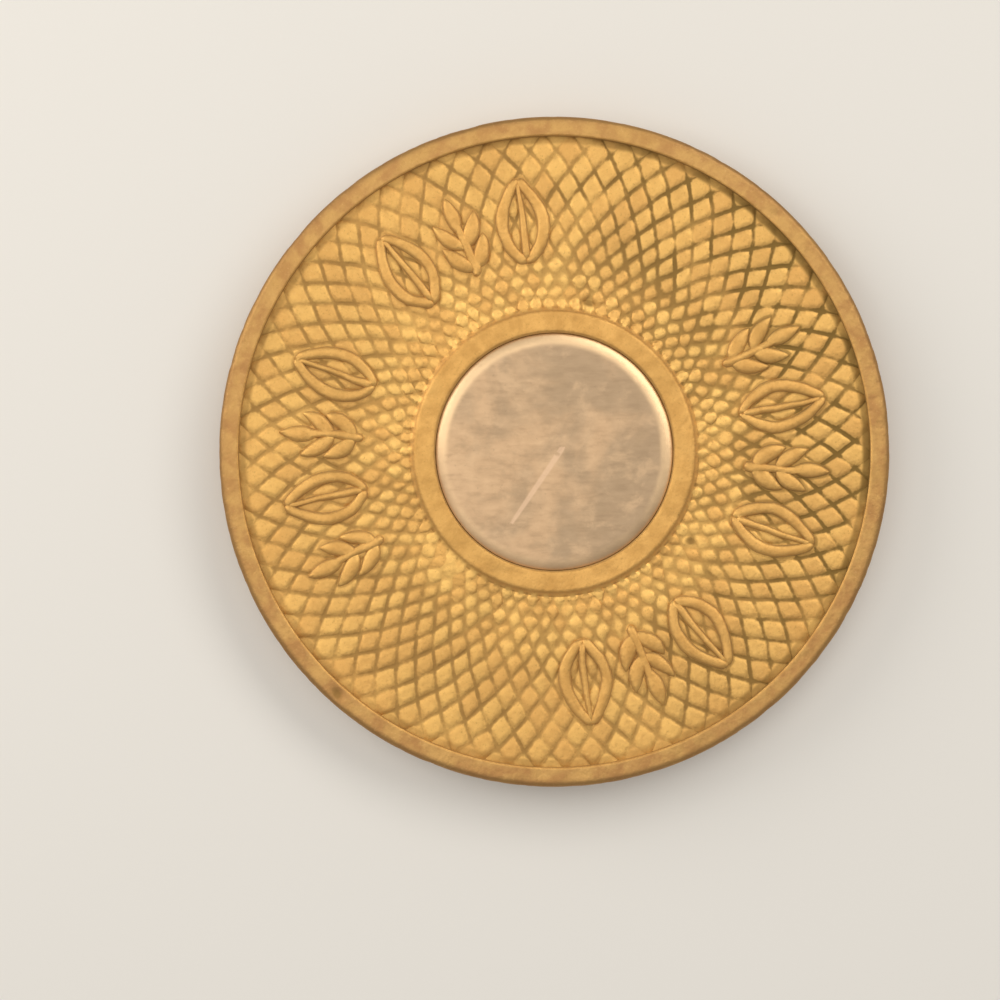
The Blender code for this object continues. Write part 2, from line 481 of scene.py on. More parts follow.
def ring_points(rows, field):
    """Mesh points of the upper half, row by row, with the field's engraved."""
    r, z = (np.repeat(values[:, None], COLUMNS, axis=1) for values in np.array(rows).T)
    turns = np.repeat(np.arange(COLUMNS)[None, :] * math.tau / COLUMNS, len(rows), axis=0)
    u, v = field_grid(field.stop - field.start)
    turns[field] = (u + v) / 2 * math.tau / LINES
    r[field] = radius_at((u - v) / 2)
    z[field] = lattice_height(u, v, r[field])
    x = r * np.cos(turns - LATTICE_TURN)
    y = r * np.sin(turns - LATTICE_TURN)
    return np.stack([x, y, z], axis=-1).reshape(-1, 3)


def split_quad(row, column):
    """True to split a quad of the field along the first family of lines, False along the second."""
    first = (column - row + INNER_ROW * STEPS) % STEPS
    second = (column + row + 1 - INNER_ROW * STEPS) % STEPS
    return min(first, STEPS - first) < min(second, STEPS - second)


def ring_faces(row_count, field):
    """Quads between the rows, and in the field triangles that follow the engraved lines."""
    faces = []
    for i in range(row_count - 1):
        for j in range(COLUMNS):
            a = i * COLUMNS + j
            b = i * COLUMNS + (j + 1) % COLUMNS
            c = b + COLUMNS
            d = a + COLUMNS
            if not field.start <= i < field.stop - 1:
                faces.append((a, d, c, b))
            elif split_quad(i - field.start, j):
                faces += [(a, d, c), (a, c, b)]
            else:
                faces += [(a, d, b), (b, d, c)]
    return faces


def engraved_ring():
    rows, field = ring_rows()
    obj = add_mesh("brass_ring", ring_points(rows, field), ring_faces(len(rows), field))
    doubled(obj)
    return obj


# The ornaments. A stroke is a centre line with a half width at each point, in the ornament's own
# plane: x across it, y outwards from the token's centre.


def along_stroke(steps):
    """Shares from 0 to 1 along a stroke, closer together towards its ends."""
    return (1 - np.cos(np.linspace(0, math.pi, steps + 1))) / 2


def round_ended(x, y, half):
    """The stroke with both its ends rounded off in plan."""
    gone = np.concatenate([[0], np.cumsum(np.hypot(np.diff(x), np.diff(y)))])
    near = np.minimum(gone, gone[-1] - gone) / half.max()
    return x, y, half * np.sqrt(np.clip(1 - (1 - np.clip(near, 0, 1)) ** 2, 0.06, 1))


def leaf_side(side):
    t = along_stroke(16)
    bow = (LEAF_WIDTH - LEAF_STROKE) / 2
    x = side * bow * np.sin(math.pi * t) ** 0.85 * (1 + 0.12 * np.cos(math.pi * t))
    y = (t - 0.5) * (ORNAMENT_LENGTH - 0.2 * LEAF_STROKE)
    return round_ended(x, y, LEAF_STROKE / 2 * (0.75 + 0.25 * np.sin(math.pi * t)))


def tapered_rib(length, bow, half_width, steps):
    """A slightly bowed stroke that runs outwards and thins on its way."""
    t = along_stroke(steps)
    return round_ended(bow * np.sin(math.pi * t), (t - 0.5) * length, half_width * (1 - 0.4 * t))


def leaflet(side, root):
    """A plump leaflet that leaves the stem at root and curls outwards; side 0 is the tip's."""
    t = 0.02 + 0.97 * along_stroke(10)
    angle = side * (LEAFLET_ANGLE + LEAFLET_CURL * (0.5 - t))
    x = LEAFLET_LENGTH * t * np.sin(angle)
    y = root + LEAFLET_LENGTH * t * np.cos(angle)
    return x, y, LEAFLET_WIDTH / 2 * np.sin(math.pi * t**0.85) ** 0.7


def leaf_strokes():
    midrib = tapered_rib(ORNAMENT_LENGTH * 0.90, MIDRIB_BOW, MIDRIB_HALF_WIDTH, 9)
    return [leaf_side(-1), leaf_side(1), midrib]


def sprig_strokes():
    stem = tapered_rib(ORNAMENT_LENGTH * 0.98, STEM_BOW, STEM_HALF_WIDTH, 10)
    tip = leaflet(0, ORNAMENT_LENGTH / 2 - LEAFLET_LENGTH)
    return [stem, tip] + [leaflet(side, root) for root in LEAFLET_ROOTS for side in (-1, 1)]


def sideways(x, y):
    """Unit vectors square to a path, as a row of x and a row of y."""
    across = np.stack([-np.gradient(y), np.gradient(x)])
    return across / np.hypot(*across)


def stroke_section(half):
    """Across one stroke: offsets as shares of the half width, and a height for each point of it."""
    angles = np.linspace(math.pi, 0, STROKE_STEPS + 1)
    power = 2 / STROKE_SQUARENESS
    side = np.sign(np.cos(angles)) * np.abs(np.cos(angles)) ** power
    crest = (ORNAMENT_TOP - STROKE_SPRING) * (half / half.max()) ** 0.25
    height = STROKE_SPRING + np.outer(crest, np.abs(np.sin(angles)) ** power)
    root = np.full((len(half), 1), STROKE_ROOT)
    return np.concatenate([[-1], side, [1]]), np.hstack([root, height, root])


def stroke_mesh(stroke):
    """Vertices and faces of one stroke as a closed ridge with a rounded top and tapered ends."""
    x, y, half = stroke
    side, height = stroke_section(half)
    across = sideways(x, y)
    offset = np.outer(half, -side)
    plan = [centre[:, None] + part[:, None] * offset for centre, part in zip((x, y), across)]
    wide = len(side)
    faces = []
    for i in range(len(x) - 1):
        for j in range(wide):
            k = (j + 1) % wide
            faces.append((i * wide + j, i * wide + k, (i + 1) * wide + k, (i + 1) * wide + j))
    faces.append(tuple(range(wide))[::-1])
    faces.append(tuple((len(x) - 1) * wide + j for j in range(wide)))
    return np.stack([*plan, height], -1).reshape(-1, 3), faces


def stations():
    """For every ornament of a face: its turn about the token's axis and its strokes."""
    for arc_angle in ARC_ANGLES:
        for station in range(STATIONS):
            if station != EMPTY_STATION:
                turn = arc_angle + (station - (STATIONS - 1) / 2) * STATION_PITCH
                yield turn, leaf_strokes() if station % 2 else sprig_strokes()


def stroke_layers():
    """Objects of which each holds strokes that don't touch one another, for both faces."""
    layers = {}
    for turn, strokes in stations():
        place = Matrix.Rotation(-turn, 4, "Z") @ Matrix.Translation((0, ORNAMENT_RADIUS, 0))
        for number, stroke in enumerate(strokes):
            points, faces = stroke_mesh(stroke)
            vertices, polygons = layers.setdefault(number, ([], []))
            polygons += [tuple(len(vertices) + k for k in face) for face in faces]
            vertices += [place @ Vector(point) for point in points]
    made = []
    for number, (vertices, faces) in layers.items():
        layer = add_mesh(f"strokes_{number}", vertices, faces)
        doubled(layer)
        made.append(layer)
    return made


def step_distance(points, start, end):
    """Distance of points in the plane from the line between two others, and their share along it."""
    step = end - start
    offset = points - start
    along = np.clip(offset @ step / (step @ step), 0, 1)
    return np.hypot(*(offset - along[:, None] * step).T), along


def stroke_gap(x, y):
    """Distance in the plane from the nearest stroke's outline, below 0 inside one."""
    gap = np.full(len(x), 1.0 * MM)
    for turn, strokes in stations():
        own_x = x * math.cos(turn) - y * math.sin(turn)
        own_y = x * math.sin(turn) + y * math.cos(turn) - ORNAMENT_RADIUS
        near = np.flatnonzero(np.hypot(own_x, own_y) < 0.8 * ORNAMENT_LENGTH)
        own = np.stack([own_x[near], own_y[near]], -1)
        for path_x, path_y, half in strokes:
            path = np.stack([path_x, path_y], -1)
            for k in range(len(half) - 1):
                away, along = step_distance(own, path[k], path[k + 1])
                away -= half[k] + along * (half[k + 1] - half[k])
                gap[near] = np.minimum(gap[near], away)
    return gap


# Wear and marks.


def wear(mesh, seed, amount):
    """Shallow unevenness over a struck surface, fading out towards the seam and the edge."""
    points = positions(mesh)
    shifts = noise_at(points, WEAR_SIZE, (seed, 0, 0))
    shifts += 0.5 * noise_at(points, FINE_WEAR_SIZE, (0, seed, 0))
    faced = np.clip((np.abs(points[:, 2]) - 0.5 * HALF_THICKNESS) / (0.2 * HALF_THICKNESS), 0, 1)
    points[:, 2] -= np.sign(points[:, 2]) * amount * faced * np.clip(shifts + 0.6, 0, 2)
    set_positions(mesh, points)


def warp(mesh):
    """Moves the engraving sideways a little here and there, most of all near the collar."""
    points = positions(mesh)
    radius = axis_distance(points)
    first = radius_at(INNER_ROW)
    last = radius_at(OUTER_ROW)
    free = ramp(radius, first, first + DRIFT_MARGIN) * (1 - ramp(radius, last - DRIFT_MARGIN, last))
    calming = ramp(radius, 0.5 * TOKEN_RADIUS, 0.75 * TOKEN_RADIUS)
    amount = INNER_DRIFT + (OUTER_DRIFT - INNER_DRIFT) * calming
    drift = [noise_at(points, DRIFT_SIZE, shift) for shift in ((7, 0, 0), (0, 7, 0))]
    points[:, :2] += (amount * free * np.stack(drift)).T
    set_positions(mesh, points)


def random_marks(random, face):
    """Marks spread at random over one face: on the rim, then on the collar, then on the field."""
    marks = []
    count, inner, reach, least, spread, depth = RIM_MARKS
    for _ in range(count):
        radius = inner + reach * random.random()
        size = least + spread * random.random() ** 2
        angle = 360 * random.random()
        marks.append((face, radius, angle, 2 * size, size, 180 * random.random(), depth))
    for count, inner, reach, half_length, half_width, depth in SHALLOW_MARKS:
        for _ in range(count):
            radius = inner + reach * random.random()
            angle = 360 * random.random()
            marks.append((face, radius, angle, half_length, half_width, 180 * random.random(), depth))
    return marks


def handling_marks():
    random = np.random.default_rng(MARK_SEED)
    return PLAIN_MARKS + random_marks(random, FRONT) + random_marks(random, BACK)


def dent(mesh, marks):
    """Presses each mark into the face it is on, and notes where the deep ones have gathered dirt."""
    points = positions(mesh)
    dirt = np.zeros(len(points))
    for face, radius, angle, half_length, half_width, heading, depth in marks:
        outwards = direction(math.radians(angle))
        along = direction(math.radians(angle + heading))
        offset = points[:, :2] / MM - outwards * radius
        on_face = points[:, 2] * face > 0.6 * HALF_THICKNESS
        near = np.flatnonzero(on_face & (np.hypot(*offset.T) < 3 * half_length))
        run = offset[near] @ along / half_length
        across = offset[near] @ np.array([-along[1], along[0]]) / half_width
        pressed = np.exp(-(run**2) - across**2)
        points[near, 2] -= face * depth * MM * pressed
        if depth > DIRTY_DEPTH:
            dirt[near] = np.maximum(dirt[near], pressed)
    set_attribute(mesh, "dirt", dirt)
    set_positions(mesh, points)


def smear(mesh):
    """Fills the lattice where the collar's metal has been rubbed out over it, on the front only."""
    points = positions(mesh)
    radius = axis_distance(points)
    angle = np.arctan2(points[:, 1], points[:, 0])
    turn = (angle - SMEAR_ANGLE + math.pi) % math.tau - math.pi
    share = np.exp(-((radius - SMEAR_RADIUS) / SMEAR_REACH) ** 2 - (turn / SMEAR_SPREAD) ** 2)
    share *= points[:, 2] > FIELD_TOP - 2 * GROOVE_DEPTH
    spread = 1 - ramp(radius, COLLAR_RADIUS, COLLAR_RADIUS + 1.0 * MM)
    level = FIELD_TOP + 0.02 * MM + (COLLAR_TOP - FIELD_TOP - 0.03 * MM) * spread
    points[:, 2] += np.where(points[:, 2] < level, 0.9 * share * (level - points[:, 2]), 0)
    set_attribute(mesh, "smear", share)
    set_positions(mesh, points)


def scuff_edge(mesh):
    """Rubs the outer edge inwards a little, unevenly, so that its outline isn't a perfect circle."""
    points = positions(mesh)
    edge = ramp(axis_distance(points), TOKEN_RADIUS - 0.25 * MM, TOKEN_RADIUS)
    rub = noise_at(points, 0.7 * MM) + 0.6 * noise_at(points, 0.25 * MM)
    points[:, :2] *= (1 - edge * EDGE_RUB * np.clip(rub, 0, 1) / TOKEN_RADIUS)[:, None]
    set_positions(mesh, points)


def lattice_marks(mesh, x, y, radius):
    """Writes crown, the height over the field's ground, and tone, each diamond's own shade."""
    first = radius_at(INNER_ROW)
    last = radius_at(OUTER_ROW)
    held = np.clip(radius, first, last)
    u, v = lattice_phases(x * held / radius, y * held / radius)
    in_field = np.abs(radius - held) < 0.0001 * MM
    set_attribute(mesh, "crown", np.where(in_field, diamond_crown(u, v, held), 1.0))
    set_attribute(mesh, "tone", np.where(in_field, diamond_number(u, v, TONE), 0.0))


def ring_marks(mesh):
    """Attributes for the brass, one number at each point.

    Stroke and step are the distances from an ornament's outline and from the nearer of the rim's
    foot and the seam, and height is that from the middle plane, all in millimetres. Rim, edge,
    beaded and darker_side are shares from 0 to 1; darker_side grows towards the side on which
    the grime and painted shade are heavier and darker.
    """
    points = positions(mesh)
    x = np.where(points[:, 2] > 0, points[:, 0], -points[:, 0])
    y = points[:, 1]
    radius = np.hypot(x, y)
    lattice_marks(mesh, x, y, radius)
    rim_foot = np.abs(radius - radius_at(OUTER_ROW) + 0.08 * MM)
    seam = radius - BORE + 0.05 * MM
    side = across_view(DARKER_SIDE_CLOCK)
    sideways_share = (x * side.x + y * side.y) / TOKEN_RADIUS
    set_attribute(mesh, "stroke", stroke_gap(x, y) / MM)
    set_attribute(mesh, "step", np.minimum(rim_foot, seam) / MM)
    set_attribute(mesh, "height", np.abs(points[:, 2]) / MM)
    set_attribute(mesh, "rim", ramp(radius, RIM_INSIDE, RIM_INSIDE + 0.1 * MM))
    set_attribute(mesh, "edge", ramp(radius, TOKEN_RADIUS - 0.32 * MM, TOKEN_RADIUS - 0.04 * MM))
    set_attribute(mesh, "beaded", beaded(radius))
    # Grows towards the side on which the grime and painted shade are heavier and darker.
    set_attribute(mesh, "darker_side", ramp(sideways_share, -0.1, 0.9))


def brass_ring():
    ring = engraved_ring()
    combined(ring, "UNION", stroke_layers())
    wear(ring.data, RING_WEAR_SEED, RING_WEAR)
    ring_marks(ring.data)
    smear(ring.data)
    dent(ring.data, handling_marks())
    warp(ring.data)
    scuff_edge(ring.data)
    finish_surface(ring, 40, brass_material())
    return ring


# The plug.


def plug_surface(radius):
    """Height of the plug's crowned face at this distance from its axis."""
    return PLUG_TOP - PLUG_CROWN * (radius / PLUG_FLAT_RADIUS) ** 2


def plug_rows():
    """(r, z) of the upper half from the bottom of the groove in its edge to near its centre."""
    shoulder_radius = PLUG_SHOULDER / math.sin(PLUG_SHOULDER_ANGLE)
    centre = (PLUG_FLAT_RADIUS, PLUG_TOP - PLUG_CROWN - shoulder_radius)
    rows = [(PLUG_RADIUS - LOCK_DEPTH, 0.0), (PLUG_RADIUS, LOCK_HALF_HEIGHT)]
    rows += arc(centre, shoulder_radius, math.pi / 2 - PLUG_SHOULDER_ANGLE, math.pi / 2, 7)
    circles = PLUG_FLAT_RADIUS * np.linspace(1, 0, PLUG_CIRCLES)[1:-1]
    return rows + [(radius, plug_surface(radius)) for radius in circles]


def turned_half(name, rows, columns):
    """The upper half of a solid of revolution, closed over the middle by a fan."""
    turns = np.arange(columns) * math.tau / columns
    vertices = [(r * math.cos(a), r * math.sin(a), z) for r, z in rows for a in turns]
    faces = []
    for i in range(len(rows) - 1):
        for j in range(columns):
            k = (j + 1) % columns
            corners = ((i, j), (i, k), (i + 1, k), (i + 1, j))
            faces.append(tuple(row * columns + column for row, column in corners))
    last = (len(rows) - 1) * columns
    vertices.append((0.0, 0.0, PLUG_TOP))
    faces += [(last + j, last + (j + 1) % columns, len(vertices) - 1) for j in range(columns)]
    return add_mesh(name, vertices, faces)


def scratch_line():
    """Points along the scratch from its light end to its heavy end, and its half width at each."""
    t = np.linspace(0, 1, 13)
    x = SCRATCH_START[0] + (SCRATCH_END[0] - SCRATCH_START[0]) * t + SCRATCH_BOW * np.sin(math.pi * t)
    y = SCRATCH_START[1] + (SCRATCH_END[1] - SCRATCH_START[1]) * t
    return x, y, SCRATCH_HALF_WIDTH * np.sin(math.pi * (0.06 + 0.88 * t)) ** 0.7


def scratch_cutter():
    """A long thin wedge, point down, that follows the plug's crown."""
    x, y, half = scratch_line()
    left, right = (np.stack([x, y]) + side * 2 * half * sideways(x, y) for side in (-1, 1))
    surface = plug_surface(np.hypot(x, y))
    over = surface + SCRATCH_DEPTH
    rails = [(*left, over), (x, y, surface - SCRATCH_DEPTH), (*right, over)]
    vertices = np.stack([np.stack(rail, -1) for rail in rails], 1).reshape(-1, 3)
    faces = [(0, 2, 1), tuple(len(vertices) - k for k in (3, 2, 1))]
    for k in range(0, len(vertices) - 3, 3):
        for a, b in ((k, k + 1), (k + 1, k + 2), (k + 2, k)):
            faces.append((a, b, b + 3, a + 3))
    cutter = add_mesh("scratch_cutter", vertices, faces)
    bm = bmesh.new()
    bm.from_mesh(cutter.data)
    bmesh.ops.recalc_face_normals(bm, faces=bm.faces)
    bm.to_mesh(cutter.data)
    bm.free()
    return cutter


def scratch_distance(points):
    """Distance from the scratch on the front, which seems to grow as the scratch fades out."""
    x, y, _ = scratch_line()
    path = np.stack([x, y], -1)
    gap = np.full(len(points), 1.0 * MM)
    for k in range(len(x) - 1):
        away, along = step_distance(points[:, :2], path[k], path[k + 1])
        gap = np.minimum(gap, away + SCRATCH_FADING * ((k + along) / (len(x) - 1)) ** 2)
    gap[points[:, 2] < 0] = 1.0 * MM
    return gap


def plug_marks(mesh):
    """Attributes for the steel, one number at each point.

    Scratch is the distance from the scratch in millimetres. Pale grows from -1 to 1 towards the
    paler side, and shoulder is the share of the painted highlight on the shoulder, 1 where it is
    brightest.
    """
    points = positions(mesh)
    radius = axis_distance(points)
    pale = across_view(PALE_CLOCK)
    side = across_view(SHOULDER_HIGHLIGHT_CLOCK)
    facing = (points[:, 0] * side.x + points[:, 1] * side.y) / np.maximum(radius, PLUG_FLAT_RADIUS)
    # The shoulder's painted highlight: brightest on the side at its clock angle, at 0.45 of full
    # strength opposite.
    highlight_share = 0.45 + 0.55 * ramp(facing, -0.5, 0.1)
    on_shoulder = ramp(radius, PLUG_FLAT_RADIUS - 0.05 * MM, PLUG_FLAT_RADIUS + 0.25 * MM)
    set_attribute(mesh, "scratch", scratch_distance(points) / MM)
    set_attribute(mesh, "pale", (points[:, 0] * pale.x + points[:, 1] * pale.y) / PLUG_RADIUS)
    set_attribute(mesh, "shoulder", on_shoulder * highlight_share)


def steel_plug():
    plug = turned_half("steel_plug", plug_rows(), PLUG_COLUMNS)
    doubled(plug)
    wear(plug.data, PLUG_WEAR_SEED, PLUG_WEAR)
    combined(plug, "DIFFERENCE", [scratch_cutter()])
    plug_marks(plug.data)
    finish_surface(plug, 30, steel_material())
    return plug


# Materials.


class Shader:
    """A material's node tree, written as functions that return sockets. Lengths are in millimetres.

    Its textures lie along axes turned about Z, so that they can be stretched in that direction.
    """

    def __init__(self, name, turn=0.0):
        self.material = bpy.data.materials.new(name)
        self.material.use_nodes = True
        self.tree = self.material.node_tree
        self.surface = self.tree.nodes["Principled BSDF"]
        turned = self.tree.nodes.new("ShaderNodeVectorRotate")
        turned.rotation_type = "Z_AXIS"
        turned.inputs["Angle"].default_value = -turn
        place = self.tree.nodes.new("ShaderNodeTexCoord").outputs["Object"]
        self.set_input(turned.inputs["Vector"], place)
        self.place = self.scaled(turned.outputs["Vector"], (1 / MM, 1 / MM, 1 / MM))

    def set_input(self, socket, value):
        if isinstance(value, bpy.types.NodeSocket):
            self.tree.links.new(value, socket)
        else:
            socket.default_value = value

    def scaled(self, vector, factors):
        node = self.tree.nodes.new("ShaderNodeVectorMath")
        node.operation = "MULTIPLY"
        self.set_input(node.inputs[0], vector)
        self.set_input(node.inputs[1], factors)
        return node.outputs["Vector"]

    def value(self, operation, *operands):
        node = self.tree.nodes.new("ShaderNodeMath")
        node.operation = operation
        for socket, operand in zip(node.inputs, operands):
            self.set_input(socket, operand)
        return node.outputs["Value"]

    def add(self, first, second):
        return self.value("ADD", first, second)

    def times(self, first, second):
        return self.value("MULTIPLY", first, second)

    def larger(self, first, second):
        return self.value("MAXIMUM", first, second)

    def attribute(self, name):
        node = self.tree.nodes.new("ShaderNodeAttribute")
        node.attribute_name = name
        return node.outputs["Fac"]

    def noise(self, size, detail=3.0, distortion=0.0, stretch=(1, 1, 1), rough=0.55):
        """Fractal noise, about 0 to 1, whose blotches are about size millimetres across."""
        node = self.tree.nodes.new("ShaderNodeTexNoise")
        self.set_input(node.inputs["Vector"], self.scaled(self.place, stretch))
        node.inputs["Scale"].default_value = 1 / size
        node.inputs["Detail"].default_value = detail
        node.inputs["Roughness"].default_value = rough
        node.inputs["Distortion"].default_value = distortion
        return node.outputs["Fac"]

    def swing(self, pattern, amount):
        """A pattern of 0 to 1 as one that swings by half the amount to either side of 0."""
        return self.value("MULTIPLY_ADD", pattern, amount, -amount / 2)

    def steepness(self):
        """0 where the surface lies flat, 1 where it stands upright."""
        split = self.tree.nodes.new("ShaderNodeSeparateXYZ")
        normal = self.tree.nodes.new("ShaderNodeNewGeometry").outputs["Normal"]
        self.set_input(split.inputs["Vector"], normal)
        return self.between(self.value("ABSOLUTE", split.outputs["Z"]), 0.5, 0.9, 1.0, 0.0)

    def between(self, value, low, high, first=0.0, last=1.0):
        """Smooth step from first, where value is low, to last, where it is high."""
        node = self.tree.nodes.new("ShaderNodeMapRange")
        node.interpolation_type = "SMOOTHSTEP"
        self.set_input(node.inputs["Value"], value)
        node.inputs["From Min"].default_value = low
        node.inputs["From Max"].default_value = high
        node.inputs["To Min"].default_value = first
        node.inputs["To Max"].default_value = last
        return node.outputs["Result"]

    def mixed(self, kind, suffix, share, first, second):
        """The output of a Mix node of this kind; the suffix is the kind's name in its sockets."""
        node = self.tree.nodes.new("ShaderNodeMix")
        node.data_type = kind
        sockets = {socket.identifier: socket for socket in node.inputs}
        self.set_input(sockets["Factor_Float"], share)
        self.set_input(sockets["A_" + suffix], first)
        self.set_input(sockets["B_" + suffix], second)
        results = {socket.identifier: socket for socket in node.outputs}
        return results["Result_" + suffix]

    def number(self, share, first, second):
        return self.mixed("FLOAT", "Float", share, first, second)

    def colour(self, share, first, second):
        """Each of the two colours is a socket or a tuple of red, green and blue."""
        pair = [(*value, 1.0) if isinstance(value, tuple) else value for value in (first, second)]
        return self.mixed("RGBA", "Color", share, *pair)

    def bump(self, height, distance, normal=None):
        """Tilts the surface as relief of this height, in millimetres, would."""
        node = self.tree.nodes.new("ShaderNodeBump")
        node.inputs["Distance"].default_value = distance * MM
        self.set_input(node.inputs["Height"], height)
        if normal is not None:
            self.set_input(node.inputs["Normal"], normal)
        return node.outputs["Normal"]

    def finish(self, **inputs):
        for name, value in inputs.items():
            self.set_input(self.surface.inputs[name.replace("_", " ")], value)
        return self.material


def brass_grime_and_shade(s, cloud, blotch, mottle):
    """Share of grime and painted shade: grime in the engraved lines and deep dents, grime and painted
    shade at the foot of figures and rim, and painted shade by the seam.
    """
    height = s.attribute("height")
    stroke = s.attribute("stroke")
    spread = s.swing(blotch, 0.10)
    ragged = s.add(s.swing(blotch, 0.7), s.swing(mottle, 0.7))
    in_line = s.between(s.add(s.attribute("crown"), ragged), 0.05, 0.70, 1.0, 0.0)
    in_line = s.times(in_line, s.between(stroke, -0.02, 0.02))
    # Grime and painted shade in a ring round the foot of each figure.
    at_foot = s.between(s.value("ABSOLUTE", s.add(stroke, spread)), 0.02, 0.09, 0.45, 0.0)
    at_foot = s.times(at_foot, s.between(height, 0.78, 0.84, 1.0, 0.0))
    # Grime and painted shade at the rim's foot, centred a little inside it, and painted shade on the
    # collar's wall by the seam.
    at_step = s.between(s.add(s.attribute("step"), spread), 0.07, 0.22, 0.65, 0.0)
    at_step = s.times(at_step, s.between(height, 0.84, 0.91, 1.0, 0.0))
    grime_and_shade = s.larger(in_line, s.larger(at_foot, at_step))
    grime_and_shade = s.times(grime_and_shade, s.between(cloud, 0.35, 0.6, 0.5, 1.0))
    # Heavier towards the darker side of the token, up to full.
    grime_and_shade = s.value("MINIMUM", s.times(grime_and_shade, s.number(s.attribute("darker_side"), 0.85, 1.35)), 1.0)
    grime_and_shade = s.times(grime_and_shade, s.number(s.attribute("beaded"), 1.0, 0.7))
    grime_and_shade = s.times(grime_and_shade, s.number(s.attribute("smear"), 1.0, 0.15))
    return s.larger(grime_and_shade, s.between(s.attribute("dirt"), 0.1, 0.8, 0.0, 0.9))


def clean_brass(s, blotch, mottle, proud, edge):
    """Colour without grain, grime and painted shade: bright on the lattice, duller on the figures and
    the rim, whose outer edge darkens with tarnish and painted shade.
    """
    rim = s.attribute("rim")
    lively = s.between(s.add(s.attribute("tone"), s.swing(mottle, 1.2)), -0.5, 0.5)
    diamond = s.colour(lively, DIAMOND_DULL, DIAMOND_BRIGHT)
    bead = s.colour(lively, BEAD_DULL, BEAD_BRIGHT)
    dulled = s.between(blotch, 0.35, 0.7)
    figure = s.colour(dulled, FIGURE_BRIGHT, FIGURE_DULL)
    rim_colour = s.colour(dulled, RIM_BRIGHT, RIM_DULL)
    # Tarnish and painted shade darken the rim towards its rounded outer edge.
    rim_colour = s.colour(s.times(edge, 0.7), rim_colour, EDGE_TARNISH_AND_SHADE)
    field = s.colour(s.attribute("beaded"), diamond, bead)
    return s.colour(s.larger(proud, rim), field, s.colour(rim, figure, rim_colour))


def brass_material():
    """Worn brass: bright diamonds, duller raised parts, brown grime and painted shade, fine grain, and
    painted light on steep walls.
    """
    s = Shader("worn_brass")
    cloud = s.noise(2.6, detail=4, distortion=0.6)
    blotch = s.noise(0.55, detail=5, distortion=0.3)
    mottle = s.noise(0.22, detail=4)
    grain = s.noise(0.07, detail=3)
    streaks = s.noise(0.11, detail=4, stretch=(1.0, 1.0, 0.08))
    edge = s.attribute("edge")
    proud = s.between(s.attribute("height"), 0.79, 0.86)
    steep = s.steepness()
    side = s.times(steep, edge)
    wall = s.times(steep, s.number(edge, 1.0, 0.0))
    grime_and_shade = brass_grime_and_shade(s, cloud, blotch, mottle)

    colour = clean_brass(s, blotch, mottle, proud, edge)
    colour = s.colour(s.between(cloud, 0.45, 0.75, 0.0, 0.35), colour, CLOUD_TARNISH)
    colour = s.colour(s.between(grain, 0.56, 0.75, 0.0, 0.5), colour, DARK_GRAIN)
    colour = s.colour(s.between(grain, 0.28, 0.40, 0.15, 0.0), colour, LIGHT_GRAIN)
    colour = s.colour(s.times(s.between(streaks, 0.45, 0.75, 0.0, 0.5), side), colour, DARK_STREAK)
    # Painted light: steep walls get a paler, less orange tint in place of the reflections they catch.
    colour = s.colour(s.times(wall, 0.5), colour, WALL_PAINTED_LIGHT)
    # Grime in the grooves and dents, and grime and painted shade at the feet and the seam, in a darker
    # brown towards the darker side.
    colour = s.colour(grime_and_shade, colour, s.colour(s.attribute("darker_side"), PALER_GRIME_AND_SHADE, DARKER_GRIME_AND_SHADE))

    roughness = s.add(s.number(proud, 0.50, 0.52), s.swing(blotch, 0.16))
    roughness = s.number(grime_and_shade, roughness, 0.72)
    metal = s.number(wall, s.number(grime_and_shade, 1.0, 0.6), 0.5)
    normal = s.bump(s.noise(0.16, detail=5), 0.020)
    normal = s.bump(s.noise(0.03, detail=3), 0.003, normal)
    normal = s.bump(s.times(streaks, side), 0.010, normal)
    return s.finish(Base_Color=colour, Metallic=metal, Roughness=roughness, Normal=normal)


def steel_material():
    """Dull steel, rubbed along one direction, with a clouded flat and a painted highlight on the
    shoulder.
    """
    s = Shader("dull_steel", turn=VIEW_ROLL)
    cloud = s.add(s.noise(2.4, detail=5, distortion=0.5), s.times(s.attribute("pale"), -0.11))
    smudge = s.noise(0.7, detail=6, distortion=0.3, stretch=(0.85, 1.0, 1.0), rough=0.6)
    brushed = s.noise(0.16, detail=4, stretch=(0.3, 1.0, 1.0))
    speck = s.noise(0.13, detail=2)
    scratch = s.between(s.attribute("scratch"), 0.06, 0.12, 0.65, 0.0)
    # Share of the painted highlight on the shoulder, with a ragged inner border.
    shoulder = s.between(s.add(s.attribute("shoulder"), s.swing(smudge, 0.8)), 0.0, 1.0)

    colour = s.colour(s.between(cloud, 0.38, 0.62), STEEL_PALE, STEEL_GREY)
    colour = s.colour(s.between(smudge, 0.5, 0.7, 0.0, 0.5), colour, STEEL_STAIN)
    colour = s.colour(s.between(smudge, 0.30, 0.5, 0.5, 0.0), colour, STEEL_BLOOM)
    colour = s.colour(s.between(brushed, 0.5, 0.75, 0.0, 0.2), colour, STEEL_SPECK)
    colour = s.colour(s.between(speck, 0.66, 0.76, 0.0, 0.3), colour, STEEL_SPECK)
    # Painted highlight on the shoulder.
    colour = s.colour(shoulder, colour, STEEL_SHOULDER_HIGHLIGHT)
    colour = s.colour(scratch, colour, STEEL_SCRATCH)

    roughness = s.between(s.add(smudge, brushed), 0.7, 1.3, 0.44, 0.58)
    roughness = s.number(scratch, s.number(shoulder, roughness, 0.40), 0.40)
    normal = s.bump(brushed, 0.003)
    normal = s.bump(s.noise(0.35, detail=4), 0.008, normal)
    return s.finish(Base_Color=colour, Metallic=0.95, Roughness=roughness, Normal=normal)


# The stage.


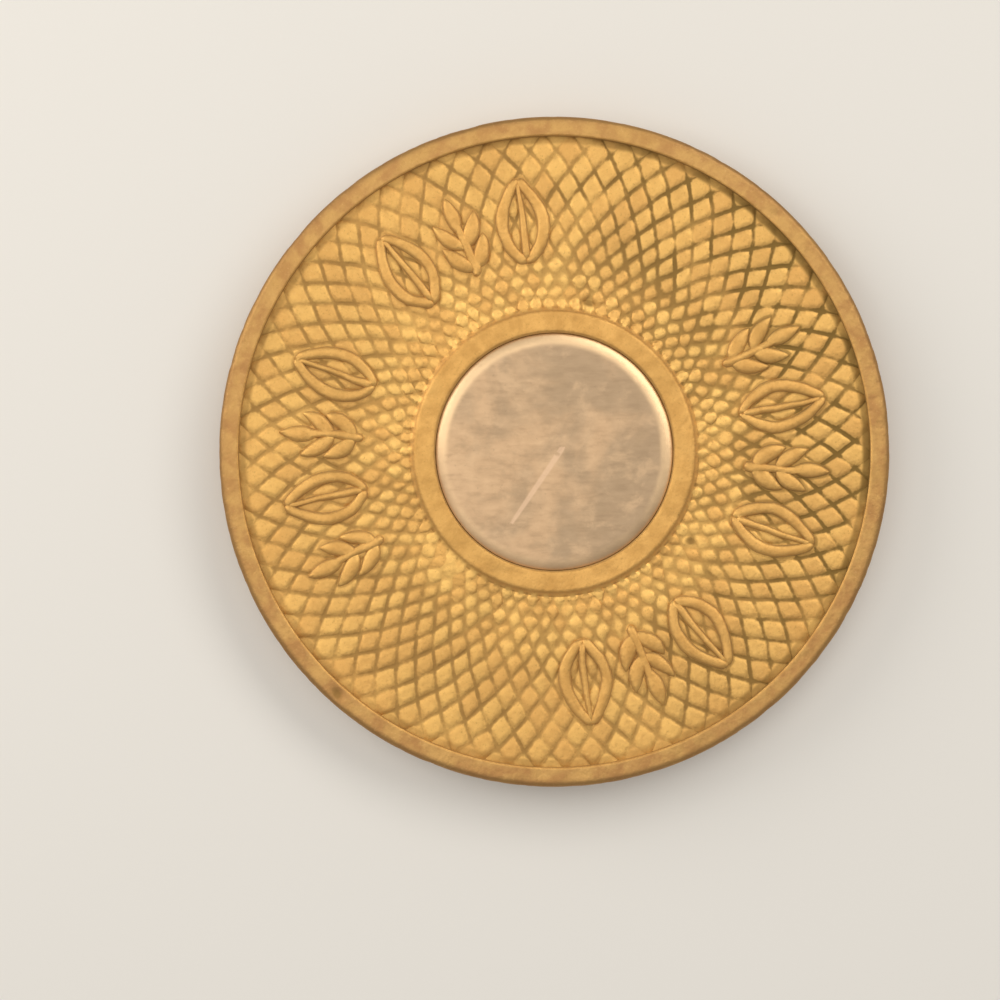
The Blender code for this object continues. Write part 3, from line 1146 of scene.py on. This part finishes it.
def plain_material(name, colour, roughness):
    material = bpy.data.materials.new(name)
    material.use_nodes = True
    surface = material.node_tree.nodes["Principled BSDF"]
    surface.inputs["Base Color"].default_value = (*colour, 1.0)
    surface.inputs["Roughness"].default_value = roughness
    return material


def add_floor():
    size = FLOOR_HALF_SIZE
    z = -HALF_THICKNESS - FLOOR_GAP
    corners = [(-size, -size, z), (size, -size, z), (size, size, z), (-size, size, z)]
    floor = add_mesh("floor", corners, [(0, 1, 2, 3)])
    floor.data.materials.append(plain_material("pale_floor", FLOOR_COLOUR, FLOOR_ROUGHNESS))


def add_soft_light(name, clock, elevation, distance, width, height, power):
    light = bpy.data.lights.new(name, "AREA")
    light.shape = "ELLIPSE"
    light.size = width
    light.size_y = height
    light.energy = power
    light.color = LIGHT_COLOUR
    obj = bpy.data.objects.new(name, light)
    rise = math.radians(elevation)
    towards = across_view(clock) * math.cos(rise) + Vector((0, 0, math.sin(rise)))
    obj.location = towards * distance
    obj.rotation_euler = towards.to_track_quat("Z", "Y").to_euler()
    bpy.context.scene.collection.objects.link(obj)


def add_sky():
    world = bpy.data.worlds.new("studio")
    bpy.context.scene.world = world
    world.use_nodes = True
    backdrop = world.node_tree.nodes["Background"]
    backdrop.inputs["Color"].default_value = (*SKY_COLOUR, 1.0)
    backdrop.inputs["Strength"].default_value = SKY_STRENGTH


def add_camera():
    data = bpy.data.cameras.new("camera")
    data.lens = LENS
    data.clip_start = 0.001
    camera = bpy.data.objects.new("camera", data)
    distance = VIEW_WIDTH * data.lens / data.sensor_width
    aside = -across_view(90) * VIEW_RIGHT - across_view(0) * VIEW_UP
    camera.location = aside + Vector((0, 0, distance))
    camera.rotation_euler = Euler((0, 0, VIEW_ROLL))
    bpy.context.scene.collection.objects.link(camera)
    bpy.context.scene.camera = camera


def add_stage():
    add_floor()
    add_sky()
    for name, light in LIGHTS.items():
        add_soft_light(name, *light)
    add_camera()
    bpy.context.scene.view_settings.view_transform = "Standard"


def add_piece(piece, node):
    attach(piece, "root")
    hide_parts(node)


add_piece(brass_ring(), "outer_ring")
add_piece(steel_plug(), "centre_plug")
add_stage()
